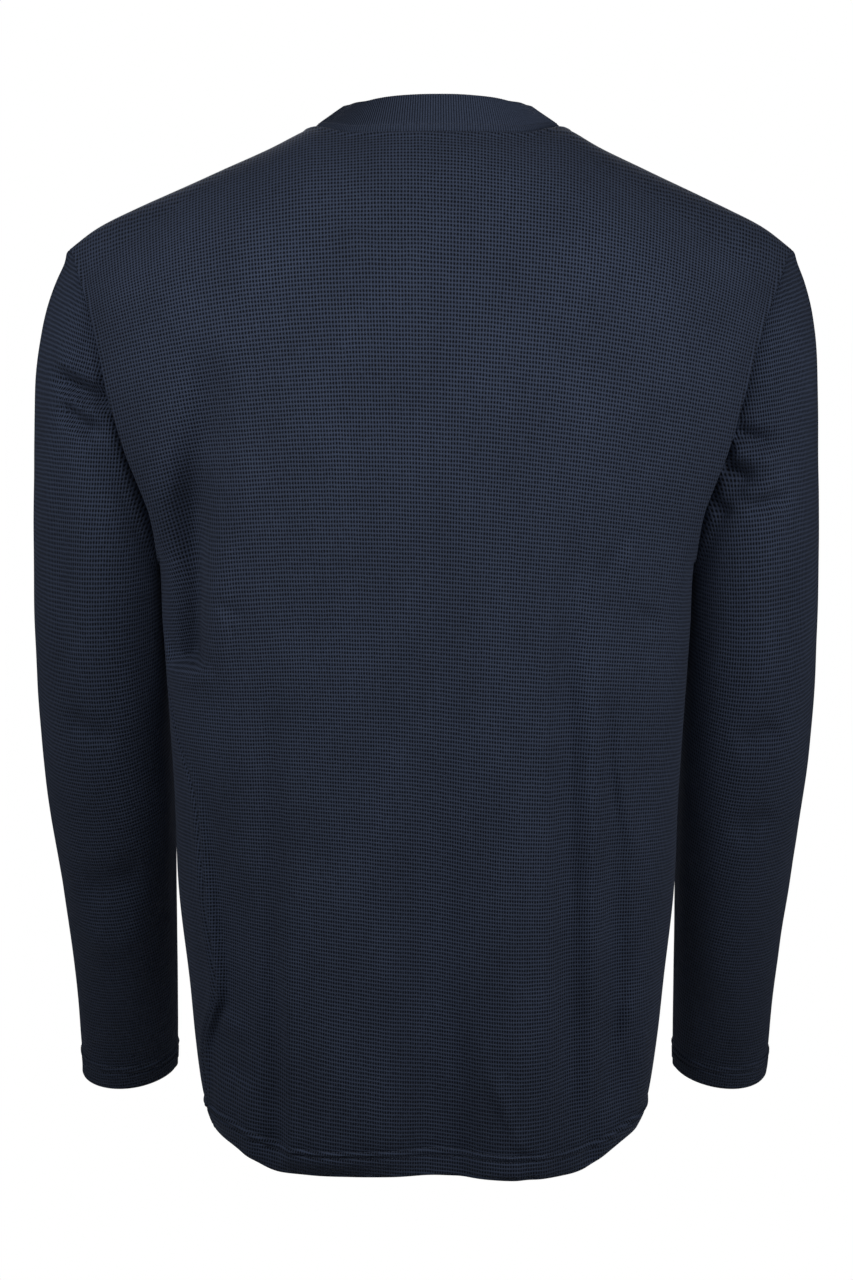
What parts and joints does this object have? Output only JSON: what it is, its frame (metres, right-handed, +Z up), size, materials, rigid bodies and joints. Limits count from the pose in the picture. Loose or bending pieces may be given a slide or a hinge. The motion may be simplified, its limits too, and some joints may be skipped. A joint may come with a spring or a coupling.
{
  "type": "long-sleeved thermal top",
  "caption": "Long-sleeved crew-neck thermal top in waffle knit, hollow and filled out as worn, with a ribbed neckband, set-in sleeves and turned hems.",
  "frame": {"origin": "midway between the two high shoulder points, where the neckband meets the shoulder seams", "axes": "+Z up, +Y towards the back of the garment, +X towards the wearer's left"},
  "size_m": [0.5792, 0.3037, 0.7568],
  "materials": {
    "waffle_back": "matte navy waffle knit",
    "waffle_front": "matte navy waffle knit",
    "waffle_sleeve_left": "matte navy waffle knit",
    "waffle_sleeve_right": "matte navy waffle knit",
    "rib_neckband": "matte navy 1x1 rib knit"
  },
  "bodies": {
    "root": {"back": "waffle_back", "front": "waffle_front", "sleeve_left": "waffle_sleeve_left", "sleeve_right": "waffle_sleeve_right", "neckband": "rib_neckband"}
  },
  "joints": []
}
